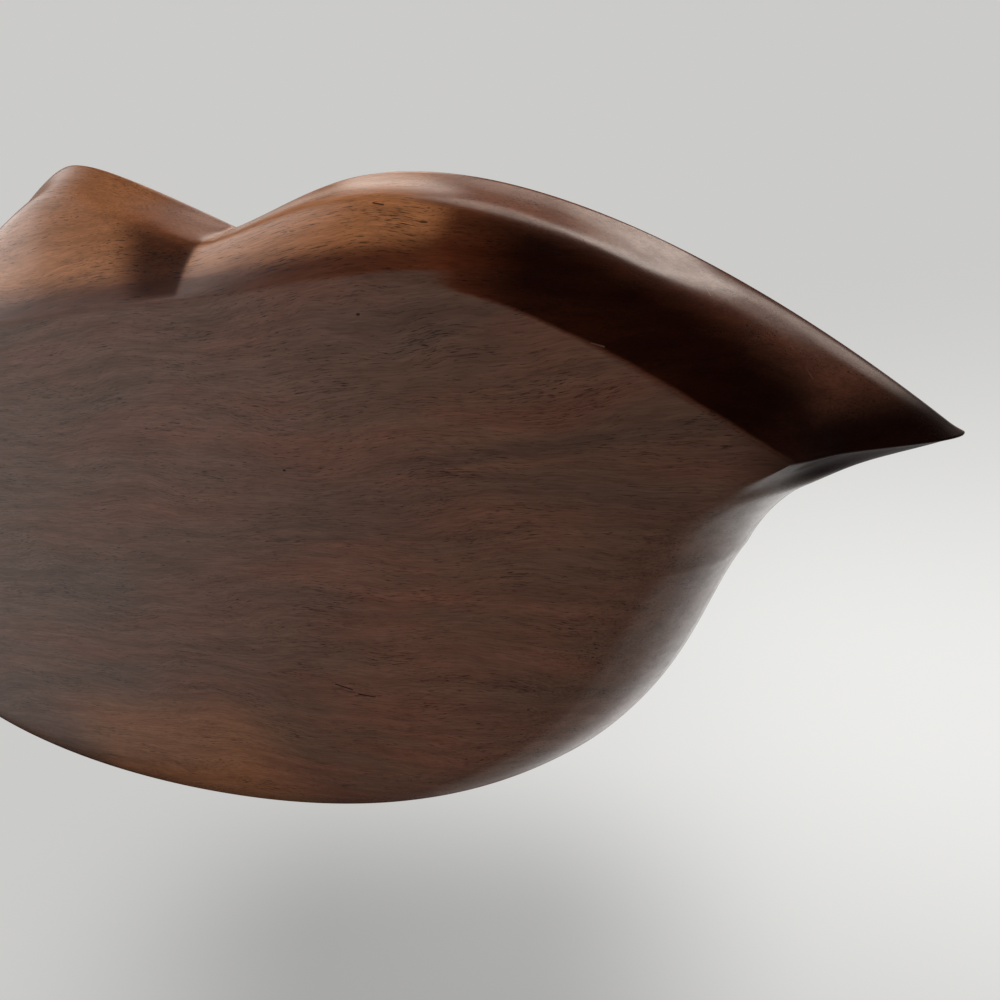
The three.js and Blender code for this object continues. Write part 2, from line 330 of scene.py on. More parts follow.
def flank_profile(hollow, ridge, roll):
    """(share of the overhang, height) for each row from foot to widest line, row by column."""
    up = (np.arange(HOLLOW_ROWS + 1) / HOLLOW_ROWS)[:, None] ** HOLLOW_CROWDING
    over = (np.arange(1, BAND_ROWS + 1) / BAND_ROWS)[:, None]
    bottom, band_start, top = (0, 0), (ridge, RIDGE_HEIGHT), (1, WIDEST_HEIGHT)
    band_handles = [
        [lerp(sloped, rolled, roll) for sloped, rolled in zip(*pair)]
        for pair in zip(SLOPE_HANDLES, ROLL_HANDLES)
    ]
    hollow_curve = profile_curve(bottom, HOLLOW_HANDLES, band_start, up)
    band_curve = profile_curve(band_start, band_handles, top, over)
    split = HOLLOW_ROWS / (HOLLOW_ROWS + BAND_ROWS)
    bowl_shares = np.vstack([split * up, split + (1 - split) * over])
    bowl_curve = profile_curve(bottom, BOWL_HANDLES, top, bowl_shares)
    return lerp(np.array(bowl_curve), np.concatenate([hollow_curve, band_curve], axis=1), hollow)


# The compartments

MIRROR = np.array([-1.0, 1.0])


def distance_to_line(points, places):
    nearest = np.full(len(places), np.inf)
    for a, b in zip(points[:-1], points[1:]):
        along = np.clip((places - a) @ (b - a) / ((b - a) @ (b - a)), 0, 1)
        gap = places - a - along[:, None] * (b - a)
        nearest = np.minimum(nearest, np.hypot(gap[:, 0], gap[:, 1]))
    return nearest


def walls(sizes):
    """The lines that the compartments keep clear of, with the width kept and the run of the wall."""
    rim = (sizes.rim_width / MM, sizes.rim_wall_run / MM)
    ridge = (sizes.divider_width / MM / 2, sizes.divider_wall_run / MM)
    lobe, start, wing, tip, neck, front = (stretch for stretch, *_ in outlines())
    landing = spaced(belly(), 2)[1]
    divider = spaced(bezier(NOTCH, DIVIDER_UPPER, DIVIDER_LOWER, landing), 40)
    wing_edge = spaced(np.vstack([start, wing]), 90)
    front_edge = spaced(np.vstack([tip, neck, front]), 130)
    lobe_edge = spaced(lobe, 30)
    found = [(np.vstack([lobe_edge[::-1] * MIRROR, lobe_edge[1:]]), *rim)]
    for line in (wing_edge, front_edge):
        found += [(line, *rim), (line * MIRROR, *rim)]
    for line in (divider, divider * MIRROR):
        found.append((line, *ridge))
    return found


def bowl_height(sizes, places):
    """Height of the compartments' surface, running on upward past the walls' edges."""
    total = sum(
        np.exp(-(distance_to_line(line, places) - clear) / run / CORNER_BLEND)
        for line, clear, run in walls(sizes)
    )
    share = np.minimum(-CORNER_BLEND * np.log(total), 1)
    floor = sizes.floor_thickness / MM
    return floor + (HEIGHT - floor) * (1 - share) ** 2


def soft_min(a, b, softness):
    low = np.minimum(a, b)
    return low - softness * np.log(np.exp((low - a) / softness) + np.exp((low - b) / softness))


# The tray's surface, as rows of the right half's places in millimetres

def top_rows(start, foot, spine):
    """Rows from the crest across the top, over the foot's edge and on to the foot's spine."""
    first = np.linalg.norm(foot - start, axis=1)
    second = np.linalg.norm(spine - foot, axis=1)
    rows = []
    for row in range(1, TOP_ROWS + 1):
        share = row / TOP_ROWS
        at = (first + second) * lerp(share, share**2, TOP_CROWDING)
        on_first = np.clip(at / first, 0, 1)[:, None]
        on_second = np.clip((at - first) / np.maximum(second, 1e-6), 0, 1)[:, None]
        rows.append(lerp(lerp(start, foot, on_first), spine, on_second))
    return rows


def tray_surface(sizes):
    """The right half's rows: places, the share of the overhang, the place up the flank (1 at the
    ridge, 2 at the widest line), and each column's hollow and roll.
    """
    rim, foot, hollow, ridge, roll = sections()
    spine = (foot + foot[::-1]) / 2
    flat = [lerp(foot, spine, share) for share in FLAT_SHARES]
    flat_z = np.zeros((len(flat), len(rim)))
    share, flank_z = flank_profile(hollow, ridge, roll)
    flank = [lerp(foot, rim, row[:, None]) for row in share]
    inward = foot - rim
    inward /= np.linalg.norm(inward, axis=1)[:, None]
    turn = np.arange(1, CREST_ROWS + 1) / CREST_ROWS * (math.pi / 2)
    crest = [rim + inward * RIM_ROUND * (1 - math.cos(angle)) for angle in turn]
    crest_z = lerp(WIDEST_HEIGHT, HEIGHT, np.sin(turn))[:, None] + np.zeros(len(rim))
    top_z = np.full((TOP_ROWS, len(rim)), HEIGHT)
    plan = np.array(flat + flank + crest + top_rows(crest[-1], foot, spine))
    z = np.vstack([flat_z, flank_z, crest_z, top_z])
    upper = len(flat) + len(flank)
    bowl = bowl_height(sizes, plan[upper:].reshape(-1, 2)).reshape(z[upper:].shape)
    z[upper:] = soft_min(z[upper:], bowl, sizes.crest_softness / MM)
    overhang = np.vstack([np.zeros_like(flat_z), share, np.ones_like(z[upper:])])
    up = np.arange(HOLLOW_ROWS + 1) / HOLLOW_ROWS
    over = 1 + np.arange(1, BAND_ROWS + 1) / BAND_ROWS
    band = np.r_[np.zeros(len(flat)), up, over, np.full(len(z) - upper, 2.0)]
    band = band[:, None] + np.zeros_like(z)
    return SimpleNamespace(plan=plan, z=z, overhang=overhang, band=band, hollow=hollow, roll=roll)


def soften(surface, edge, work, amount=1.0):
    """Rounds the columns over the rows round an edge, each by its amount."""
    below, above, passes = work
    rows = slice(edge - below, edge + above)
    before, after = slice(rows.start - 1, rows.stop - 1), slice(rows.start + 1, rows.stop + 1)
    for _ in range(passes):
        for grid, weight in ((surface.plan, np.reshape(amount, (-1, 1))), (surface.z, amount)):
            level = (grid[before] + grid[after]) / 2
            grid[rows] = lerp(grid[rows], level, weight / 2)


def soften_valley(surface, rows, column):
    """Rounds the crease between two stretches, less and less toward the last of the rows."""
    at = slice(column - VALLEY_REACH, column + VALLEY_REACH + 1)
    before, after = slice(at.start - 1, at.stop - 1), slice(at.start + 1, at.stop + 1)
    fading = np.linspace(1, 0, rows.stop - rows.start)[:, None] ** 0.5
    for _ in range(VALLEY_PASSES):
        for grid, weight in ((surface.plan, fading[:, :, None]), (surface.z, fading)):
            level = (grid[rows, before] + grid[rows, after]) / 2
            grid[rows, at] = lerp(grid[rows, at], level, weight / 2)


def work_edges(surface):
    """Works the foot's edge, the ridge and the notch's crease smooth, as a carver does."""
    edge = len(FLAT_SHARES)
    ridge = edge + HOLLOW_ROWS
    soften(surface, edge, FOOT_EDGE_WORK)
    soften(surface, edge, BOWL_EDGE_WORK, 1 - surface.hollow**3)
    soften(surface, edge, TIP_EDGE_WORK, surface.roll)
    soften(surface, ridge, RIDGE_WORK)
    soften(surface, ridge, ROLL_WORK, lerp(0.5, 1.0, surface.roll))
    soften_valley(surface, slice(edge + VALLEY_FIRST_ROW, ridge + BAND_ROWS), STRETCH_STEPS[0])


def once_round(half, flip=1.0):
    """The right half's columns, then the left half's as their mirror image, once round the tray."""
    return np.concatenate([half, half[:, -2:0:-1] * flip], axis=1)


def tray_mesh(sizes):
    surface = tray_surface(sizes)
    work_edges(surface)
    places = once_round(np.dstack([surface.plan, surface.z]), np.array([-1.0, 1.0, 1.0]))
    rows, columns = places.shape[:2]

    # The first and last rows are the foot's and the top's spines, where two columns meet in one place
    last = surface.plan.shape[1] - 1
    column = np.arange(columns)
    partner = np.where(column <= last, last - column, 3 * last - column) % columns
    index = np.arange(rows * columns).reshape(rows, columns)
    for row in (0, rows - 1):
        index[row] = np.minimum(index[row], index[row][partner])

    following = np.roll(index, -1, axis=1)
    quads = np.stack([index[:-1], index[1:], following[1:], following[:-1]], axis=2).reshape(-1, 4)
    used, renumbered = np.unique(quads, return_inverse=True)
    faces = [list(dict.fromkeys(quad)) for quad in renumbered.reshape(-1, 4).tolist()]
    mesh = bpy.data.meshes.new("carved_tray")
    mesh.from_pydata((places.reshape(-1, 3)[used] * MM).tolist(), [], faces)
    mesh.polygons.foreach_set("use_smooth", np.ones(len(mesh.polygons), bool))
    for name, half in (("overhang", surface.overhang), ("band", surface.band)):
        values = once_round(half).ravel()[used].astype(np.float32)
        mesh.attributes.new(name, "FLOAT", "POINT").data.foreach_set("value", values)
    mesh.validate()
    mesh.update()
    return mesh


# Shader maths as Python expressions

class Value:
    """A number that comes out of a node, used in Python expressions."""

    def __init__(self, tree, socket):
        self.tree = tree
        self.socket = socket

    def __add__(self, other):
        return self.tree.math("ADD", self, other)

    def __radd__(self, other):
        return self.tree.math("ADD", other, self)

    def __sub__(self, other):
        return self.tree.math("SUBTRACT", self, other)

    def __rsub__(self, other):
        return self.tree.math("SUBTRACT", other, self)

    def __mul__(self, other):
        return self.tree.math("MULTIPLY", self, other)

    def __rmul__(self, other):
        return self.tree.math("MULTIPLY", other, self)

    def __truediv__(self, other):
        return self.tree.math("DIVIDE", self, other)

    def __rtruediv__(self, other):
        return self.tree.math("DIVIDE", other, self)

    def __neg__(self):
        return self.tree.math("MULTIPLY", self, -1.0)

    def __abs__(self):
        return self.tree.math("ABSOLUTE", self)


class Nodes:
    """The nodes of one material or world."""

    def __init__(self, owner):
        owner.use_nodes = True
        self.tree = owner.node_tree
        self.tree.nodes.clear()

    def node(self, kind, settings=None, inputs=None):
        """Adds a node: its settings first, then the values or links of its sockets."""
        made = self.tree.nodes.new(kind)
        for name, value in (settings or {}).items():
            setattr(made, name, value)
        pairs = inputs.items() if isinstance(inputs, dict) else enumerate(inputs or ())
        for name, value in pairs:
            if isinstance(value, Value):
                self.tree.links.new(value.socket, made.inputs[name])
            elif isinstance(value, bpy.types.NodeSocket):
                self.tree.links.new(value, made.inputs[name])
            else:
                made.inputs[name].default_value = value
        return made

    def value(self, kind, settings=None, inputs=None, output=0):
        return Value(self, self.node(kind, settings, inputs).outputs[output])

    def math(self, operation, *numbers):
        return self.value("ShaderNodeMath", {"operation": operation}, numbers)

    def larger(self, *numbers):
        return self.math("MAXIMUM", *numbers)

    def smaller(self, *numbers):
        return self.math("MINIMUM", *numbers)

    def ramp(self, number, low, high, start=0.0, end=1.0):
        """Rises softly from start to end while the number goes from low to high."""
        settings = {"interpolation_type": "SMOOTHSTEP"}
        inputs = {"Value": number, "From Min": low, "From Max": high, "To Min": start, "To Max": end}
        return self.value("ShaderNodeMapRange", settings, inputs)

    def mix(self, share, first, second):
        """A colour between two colours."""
        settings = {"data_type": "RGBA", "clamp_factor": True}
        inputs = {0: share, 6: self.rgba(first), 7: self.rgba(second)}
        return self.node("ShaderNodeMix", settings, inputs).outputs[2]

    @staticmethod
    def rgba(shade):
        if isinstance(shade, bpy.types.NodeSocket):
            return shade
        return (*shade, 1.0)

    def vector(self, x, y, z):
        return self.node("ShaderNodeCombineXYZ", None, [x, y, z]).outputs[0]

    def vector_math(self, operation, *vectors):
        return self.node("ShaderNodeVectorMath", {"operation": operation}, vectors).outputs[0]

    def measure(self, operation, *vectors):
        """A number from vectors: a length, a distance or a dot product."""
        return self.value("ShaderNodeVectorMath", {"operation": operation}, vectors, output=1)

    def scaled(self, vector, by):
        """A vector or colour times a number."""
        return self.node("ShaderNodeVectorMath", {"operation": "SCALE"}, {0: vector, "Scale": by}).outputs[0]

    def split(self, vector):
        parts = self.node("ShaderNodeSeparateXYZ", None, [vector])
        return [Value(self, socket) for socket in parts.outputs]

    def noise(self, vector, detail, roughness=0.5):
        inputs = {"Vector": vector, "Scale": 1.0, "Detail": detail, "Roughness": roughness}
        return self.value("ShaderNodeTexNoise", {"noise_dimensions": "3D"}, inputs)


# The wood's figure as noises drawn out along the fibres: their length and width in millimetres,
# detail, roughness, and how far along the fibres they are shifted, in lengths
FIGURE = {
    "zones": (110.0, 26.0, 1.0, 0.5, 0.0),
    "reds": (70.0, 15.0, 3.0, 0.5, 7.0),
    "streaks": (34.0, 3.0, 4.0, 0.6, 0.0),
    "fine": (7.0, 0.45, 3.0, 0.6, 0.0),
    "pores": (3.6, 0.22, 2.0, 0.5, 0.0),
    "vessels": (8.0, 0.42, 2.0, 0.5, 0.0),
    "crowd": (30.0, 7.0, 2.0, 0.5, 0.0),
}

# How far the fibres wander to the side and in depth, and ripple, in millimetres, over what lengths
WANDER_SIZE = (95.0, 60.0, 60.0)
RIPPLE_SIZE = (18.0, 14.0, 14.0)
WANDER_ACROSS = 22.0
WANDER_THROUGH = 9.0
RIPPLE_ACROSS = 3.0

# Dark mineral streaks on the foot, from end to end in millimetres, with half their width
MINERAL_STREAKS = (
    ((-106, 24), (-200, 34), 2.2),
    ((-116, 55), (-152, 66), 1.6),
    ((-62, 2), (-96, 4), 1.2),
)
STREAK_CORE = 0.3
STREAK_SIDE = 1.6
STREAK_END = 10.0

# Marks of use and drying, from end to end in millimetres, with half their width
SCRATCHES = (
    ((-215.1, 47.8, 14.4), (-219.8, 39.9, 12.1), 0.18),
    ((-190.7, 68.7, 20.5), (-197.6, 61.1, 13.7), 0.25),
    ((-171.1, 54.4, 0.3), (-174.1, 53.2, 0.6), 0.25),
    ((-154.2, 87.7, 20.0), (-156.2, 86.0, 17.9), 0.55),
    ((-164.0, 83.5, 20.6), (-165.6, 82.3, 19.8), 0.45),
)
CHECKS = (
    ((-207.2, 7.9, 10.8), (-211.0, 10.3, 11.7), 0.30),
    ((-212.4, 11.4, 12.4), (-214.8, 12.8, 13.4), 0.40),
    ((-145.0, -75.7, 12.0), (-146.4, -76.1, 12.0), 0.45),
    ((-115.5, 93.4, 9.1), (-118.6, 92.6, 8.6), 0.35),
    ((-110.0, 67.0, 0.0), (-110.5, 67.0, 0.0), 0.50),
    ((-75.0, 25.0, 0.0), (-75.5, 25.0, 0.0), 0.50),
    ((-75.0, -49.0, 0.0), (-81.0, -50.5, 0.0), 0.35),
    ((-83.0, -52.0, 0.0), (-89.0, -52.5, 0.0), 0.35),
)
MARK_CORE = 0.3

# Where the wood changes, and where painted shade lies, in millimetres: each pair is where a soft
# step begins and ends. A side is a distance from the middle along x, and a back or front is a place
# along y.
LIGHT_STREAK_MIDDLE = 6.0
LIGHT_STREAK_SIDE = (28.0, 66.0)
LIGHT_STREAK_FRONT = (56.0, 78.0)
SAPWOOD_START = (75.5, 77.5)
SAPWOOD_GOLD = (81.0, 92.0)
SAPWOOD_BLEND = 5.0
SAPWOOD_LEAN = 0.8
SAPWOOD_LEAN_TOP = 15.0
LOBE_STAIN_SIDE = (26.0, 42.0)
LOBE_STAIN_BACK = (FOOT_BACK, FOOT_BACK + 2.5)
VALLEY_SIDE = (50.5, 53.0)
VALLEY_SLOPE = 0.3
NOTCH_SIDE = (50.0, 62.0)
GOLD_START_SIDE = (60.0, 76.0)
GOLD_END_SIDE = (116.0, 140.0)
STAIN_SIDE = (130.0, 140.0)
STAIN_WANDER = 8.0
# Where the near-black of stain and painted shade under the band grows deepest
DARKENING_SIDE = (134.0, 158.0)
WING_END_SIDE = (120.0, 200.0)
NECK_SIDE = (166.0, 192.0)
NECK_BACK = (14.0, 20.0)
# TIP_SIDE, TIP_FRONT, TIP_BACK and TIP_BACK_LEAN place the painted shade in the hollow below the tip
TIP_SIDE = (196.0, 222.0)
TIP_FADE_SIDE = (195.0, 225.0)
TIP_FRONT = (11.0, 18.0)
TIP_BACK = (30.0, 44.0)
TIP_BACK_LEAN = 20.0

# The same for the surface's direction, for the share of the overhang and for the place up the flank
FACING_BACK = (0.05, 0.25)
FACING_UP = (0.1, 0.6)
# TIP_FACING keeps the painted shade below the tip on faces that turn down
TIP_FACING = (-0.3, 0.1)
TURNED = (0.15, 0.24)
FOOT_EDGE = (-0.02, 0.04)
FLANK_START = (0.0, 0.06)
NECK_SHARE = (0.1, 0.7)
RIDGE_BAND = (0.9, 1.1)
CREST_BAND = (1.2, 1.6)
DULL_BAND = (-0.02, 0.16)

# Depths in shares of the bump's distance, and lengths of the carver's marks in millimetres
BUMP_DISTANCE = 0.17 * MM
PORE_DEPTH = 0.8
VESSEL_DEPTH = 1.2
CHECK_DEPTH = 3.0
FINE_HEIGHT = 0.4
PEBBLE_HEIGHT = 1.6
HAND_HEIGHT = 6.0
PEBBLE_SIZE = (2.6, 2.0, 2.0)
HAND_SIZE = (16.0, 13.0, 9.0)
HAND_START = (0.05, 0.3)
PEBBLE_FACING = (0.2, 0.5)

# How strongly each layer covers what lies under it, and how much darker the wood is by the tip
ZONE_COVER = 0.6
MINERAL_COVER = 0.5
LIGHT_STREAK_COVER = 0.34
LOBE_STAIN_COVER = 0.8
# The near-black layer is end-grain stain with painted shade under the band and below the tip
DARK_COVER = 0.95
PORE_COVER = 0.7
CHECK_COVER = 0.9
TIP_DARKENING = 0.22

# How far the stain and painted shade under the band spread out by the tip, and how much lacquer is
# lost over the stain and the painted shade below the tip, below the crest and at the neck
BAND_SPREAD = 0.16
STAIN_DULLING = 0.93
CREST_DULLING = 0.75
NECK_DULLING = 0.75


def streak(n, x, y, start, end, width):
    """1 on a straight streak with soft sides, and 0 away from it."""
    slope = (end[1] - start[1]) / (end[0] - start[0])
    off = abs(y - (start[1] + (x - start[0]) * slope))
    low, high = sorted((start[0], end[0]))
    begun = n.ramp(x, low - STREAK_END, low + STREAK_END)
    ended = n.ramp(x, high - STREAK_END, high + STREAK_END)
    return (1 - n.ramp(off, width * STREAK_CORE, width * STREAK_SIDE)) * begun * (1 - ended)


def marks(n, place, lines):
    """1 along the given straight marks and 0 away from them."""
    total = 0.0
    for start, end, width in lines:
        run = Vector(end) - Vector(start)
        from_start = n.vector_math("SUBTRACT", place, start)
        share = n.measure("DOT_PRODUCT", from_start, tuple(run)) / run.length_squared
        nearest = n.scaled(tuple(run), n.larger(n.smaller(share, 1.0), 0.0))
        off = n.measure("DISTANCE", from_start, nearest)
        total = (1 - n.ramp(off, width * MARK_CORE, width)) + total
    return total


def wood_surface(n):
    """At each point: its place in millimetres, the way it faces, and the mesh's own shares."""
    place = n.scaled(n.node("ShaderNodeTexCoord").outputs["Object"], 1 / MM)
    x, y, z = n.split(place)
    facing_x, facing_y, facing_z = n.split(n.node("ShaderNodeNewGeometry").outputs["Normal"])
    attribute = lambda name: n.value("ShaderNodeAttribute", {"attribute_name": name}, output="Fac")
    return SimpleNamespace(
        place=place, x=x, y=y, z=z, side=abs(x), facing_side=abs(facing_x), facing_back=facing_y,
        facing_up=facing_z, share=attribute("overhang"), band=attribute("band"),
    )


def sized(n, at, size):
    """The place, in lengths of the given size."""
    return n.vector(at.x / size[0], at.y / size[1], at.z / size[2])


def grain(n, at):
    """The wood's figure. The fibres run along x and wander a little."""
    wander = n.noise(sized(n, at, WANDER_SIZE), detail=1.0) - 0.5
    ripple = n.noise(sized(n, at, RIPPLE_SIZE), detail=2.0) - 0.5
    across = at.y + wander * WANDER_ACROSS + ripple * RIPPLE_ACROSS
    through = at.z + wander * WANDER_THROUGH
    figure = SimpleNamespace(wander=wander, ripple=ripple, across=across)
    for name, (run, width, detail, roughness, shift) in FIGURE.items():
        drawn = n.vector(at.x / run + shift, across / width, through / width)
        setattr(figure, name, n.noise(drawn, detail, roughness))
    crowded = figure.crowd - 0.5
    figure.pore = n.ramp(figure.pores + crowded * 0.30, 0.60, 0.72)
    on_flank = n.ramp(at.share, *FLANK_START, 0.55, 0.9)
    figure.vessel = n.ramp(figure.vessels + crowded * 0.30, 0.62, 0.72) * on_flank
    figure.check = marks(n, at.place, CHECKS)
    figure.scratch = marks(n, at.place, SCRATCHES)
    return figure


def stain_and_shade_masks(n, look, at, figure):
    """Where the fibres are cut across, the wood drank the stain. Under the band it is painted near-black,
    partly stain and partly painted shade, and below the tip painted shade alone.
    """
    reds, streaks = figure.reds - 0.5, figure.streaks - 0.5
    turned = n.ramp(at.facing_side + reds * 0.06, *TURNED) * n.ramp(at.side, *NOTCH_SIDE)
    cut = n.larger(turned, n.ramp(at.side + reds * STAIN_WANDER, *STAIN_SIDE))
    cut = cut * n.ramp(at.facing_back, *FACING_BACK) * (1 - n.ramp(at.facing_up, *FACING_UP))
    cut = cut * n.ramp(at.share + streaks * 0.04, *FOOT_EDGE)

    toward_tip = n.ramp(at.side, *WING_END_SIDE)
    spread = toward_tip * BAND_SPREAD
    height = at.band + streaks * 0.1 - look.band_start
    # Painted shade: the hollow under the band is painted near-black over the stain, wider toward the tip
    under_band = 1 - n.ramp(height, 0.04 - spread, spread * 2 + 0.3)
    dull = 1 - n.ramp(height, *DULL_BAND)

    valley = 1 - n.ramp(at.side - (at.y - FOOT_BACK) * VALLEY_SLOPE, *VALLEY_SIDE)
    lobe = n.ramp(at.side, *LOBE_STAIN_SIDE) * valley * n.ramp(at.y, *LOBE_STAIN_BACK) * LOBE_STAIN_COVER
    # Painted shade in the hollow below the tip
    shade_below_tip = n.ramp(at.side, *TIP_SIDE) * n.ramp(at.y, *TIP_FRONT)
    shade_below_tip = shade_below_tip * (1 - n.ramp(at.y + spread * TIP_BACK_LEAN, *TIP_BACK))
    shade_below_tip = shade_below_tip * (1 - n.ramp(at.facing_up, *TIP_FACING))

    soaked = n.larger(cut, lobe)
    deep = n.larger(cut * n.ramp(at.side, *DARKENING_SIDE, 0.6, 1.0), lobe)
    # The near-black mask: end-grain stain with painted shade under the band, and painted shade below the tip
    dark = n.larger(deep * under_band * n.ramp(figure.reds, 0.35, 0.65, 1.0, 0.9), shade_below_tip)
    dulled = n.larger(soaked * dull, shade_below_tip)
    return SimpleNamespace(soaked=soaked, dark=dark, dulled=dulled, toward_tip=toward_tip)


def wood_colour(n, look, at, figure, stain):
    body = n.mix(n.ramp(figure.reds, 0.38, 0.70), look.heartwood, look.red_streak)
    body = n.mix(n.ramp(figure.zones, 0.46, 0.74) * ZONE_COVER, body, look.dark_streak)
    minerals = sum(streak(n, at.x, at.y, *places) for places in MINERAL_STREAKS)
    body = n.mix(minerals * MINERAL_COVER, body, look.dark_streak)

    # A lighter streak crosses the front of the foot, and the sapwood lies at the back edge
    light = n.ramp(-figure.across, *LIGHT_STREAK_FRONT)
    light = light * (1 - n.ramp(abs(at.x - LIGHT_STREAK_MIDDLE), *LIGHT_STREAK_SIDE))
    body = n.mix(light * LIGHT_STREAK_COVER, body, look.sapwood)
    depth = at.y + n.smaller(at.z, SAPWOOD_LEAN_TOP) * SAPWOOD_LEAN
    depth = depth + figure.wander * 3.0 + (figure.streaks - 0.5) * 3.0
    blend = n.ramp(at.facing_up, 0.0, 0.6, 0.0, SAPWOOD_BLEND)
    for (low, high), shade in ((SAPWOOD_START, look.red_sapwood), (SAPWOOD_GOLD, look.sapwood)):
        body = n.mix(n.ramp(depth, low - blend, high + blend), body, shade)

    body = n.mix(stain.soaked * n.ramp(at.side, *TIP_FADE_SIDE, 0.8, 0.35), body, look.stained)
    # Near-black: end-grain stain with painted shade under the band and below the tip
    body = n.mix(stain.dark * DARK_COVER, body, look.end_grain_and_shade)
    shade = n.ramp(figure.streaks, 0.3, 0.7, 0.86, 1.14) * n.ramp(figure.fine, 0.25, 0.75, 0.82, 1.18)
    body = n.scaled(body, shade * (1 - stain.toward_tip * TIP_DARKENING))
    body = n.mix(figure.vessel * n.ramp(at.share, *FLANK_START, 0.5, 0.85), body, look.pore)
    body = n.mix(n.larger(figure.pore * PORE_COVER, figure.check * CHECK_COVER), body, look.pore)
    return n.mix(figure.scratch * n.ramp(figure.ripple, -0.1, 0.1, 0.15, 0.5), body, look.scuff)


def lacquer(n, look, at, figure, stain):
    """Satin lacquer, thin over the stain and the painted shade below the tip, below the crest and at the
    neck, and worn in streaks.
    """
    neck = n.ramp(at.side, *NECK_SIDE) * (1 - n.ramp(at.y, *NECK_BACK)) * (1 - n.ramp(at.share, *NECK_SHARE))
    golden = n.ramp(at.side, *GOLD_START_SIDE) * (1 - n.ramp(at.side, *GOLD_END_SIDE))
    below_crest = n.ramp(at.band, *RIDGE_BAND) * (1 - n.ramp(at.band, *CREST_BAND)) * golden
    thin = n.larger(stain.dulled, below_crest * CREST_DULLING) * STAIN_DULLING
    worn = n.ramp(figure.streaks, 0.3, 0.7, 0.86, 1.1) * n.ramp(figure.fine, 0.25, 0.75, 0.9, 1.12)
    return (1 - n.larger(thin, neck * NECK_DULLING)) * worn * look.lacquer


def relief(n, at, figure):
    """Pores, checks and scratches sunk in the wood, with the soft marks of the carver's hand."""
    hand = n.noise(sized(n, at, HAND_SIZE), detail=1.0) * n.ramp(at.share, *HAND_START)
    pebble = n.noise(sized(n, at, PEBBLE_SIZE), detail=3.0) * n.ramp(at.facing_back, *PEBBLE_FACING)
    raised = FINE_HEIGHT * figure.fine + PEBBLE_HEIGHT * pebble + HAND_HEIGHT * hand
    sunk = PORE_DEPTH * figure.pore + VESSEL_DEPTH * figure.vessel + CHECK_DEPTH * figure.check
    return raised - sunk - figure.scratch


def carved_wood(look):
    material = bpy.data.materials.new("carved_wood")
    n = Nodes(material)
    at = wood_surface(n)
    figure = grain(n, at)
    stain = stain_and_shade_masks(n, look, at, figure)
    height = relief(n, at, figure)
    bump = n.node("ShaderNodeBump", None, {"Strength": 0.4, "Distance": BUMP_DISTANCE, "Height": height})
    shader = n.node("ShaderNodeBsdfPrincipled", None, {
        "Base Color": wood_colour(n, look, at, figure, stain),
        "Roughness": look.roughness + (figure.streaks - 0.5) * 0.16,
        "Normal": bump.outputs[0],
        "Coat Weight": lacquer(n, look, at, figure, stain),
        "Coat Roughness": 0.22,
        "Specular IOR Level": 0.05,
    })
    n.node("ShaderNodeOutputMaterial", None, {"Surface": shader.outputs[0]})
    return material


class TRAY_OT_carved_body(bpy.types.Operator):
    """Carves the tray's body at a fine pitch and gives it its wood"""

    bl_idname = "tray.carved_body"
    bl_label = "Carved body"

    def execute(self, context):
        mesh = tray_mesh(context.scene.tray_sizes)
        body = bpy.data.objects.new("carved_tray", mesh)
        context.scene.collection.objects.link(body)
        mesh.materials.append(carved_wood(context.scene.wood_look))
        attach(body, "root")
        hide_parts(BODY_NODE)
        return {"FINISHED"}


# The stage: lamps as place, aim and width in metres, and the floor's reach and where it fades out
FRONT_LAMP = ((-0.08, 0.12, -0.75), (-0.12, 0.0, 0.0), 0.2)
OVERHEAD_LAMP = ((0.1, 0.1, 0.9), (0.0, 0.0, 0.0), 0.8)
FLOOR_REACH = 6.0
FLOOR_FADE = (0.35, 1.2)

# Soft lights round the tray: the direction of each, how wide it is at half strength and how soft
# its edge is, both as cosines, its strength and its colour
DAYLIGHT = (1.0, 0.995, 0.975)
LAMPLIGHT = (1.0, 0.88, 0.78)
GLOWS = {
    "window": ((0.86, 0.48, -0.04), 0.89, 0.09, 1.7, DAYLIGHT),
    "room": ((0.90, -0.02, -0.43), 0.88, 0.14, 0.6, DAYLIGHT),
    "ceiling": ((-0.33, 0.77, 0.55), 0.981, 0.017, 3.4, LAMPLIGHT),
    "table": ((-0.58, -0.68, 0.45), 0.75, 0.25, 1.5, DAYLIGHT),
    "sky": ((-0.56, 0.60, 0.58), 0.93, 0.05, 1.5, LAMPLIGHT),
    "lamp": ((0.38, 0.62, 0.68), 0.983, 0.009, 2.0, LAMPLIGHT),
    "shelf": ((0.02, 0.91, 0.42), 0.968, 0.018, 1.8, LAMPLIGHT),
    "wall": ((0.50, 0.10, 0.86), 0.93, 0.04, 0.6, LAMPLIGHT),
}

# The plain backdrop: its level, a shine to the right and a shade below, and where each of these
# lies, as cosines to the photographed view's right and up
BACKDROP_LEVEL = 0.6
SHINE_STRENGTH = 0.24
SHINE_SIDE = (-0.35, 0.5)
SHINE_HEIGHT = -0.22
SHINE_SPAN = (0.02, 0.5)
SHADE_STRENGTH = 0.22
SHADE_BELOW = (0.3, 0.5)
SHADE_MIDDLE = -0.08
SHADE_SPAN = (0.1, 0.45)


def photographed_camera(scene):
    data = bpy.data.cameras.new("photo_view")
    data.lens = CAMERA_LENS
    data.sensor_width = SENSOR_WIDTH
    data.clip_start = CAMERA_CLIP
    camera = bpy.data.objects.new("photo_view", data)
    right, up = Vector(CAMERA_RIGHT).normalized(), Vector(CAMERA_UP).normalized()
    back = right.cross(up).normalized()
    turn = Matrix((right, up, back)).transposed()
    camera.matrix_world = Matrix.Translation(CAMERA_PLACE) @ turn.to_4x4()
    scene.collection.objects.link(camera)
    scene.camera = camera


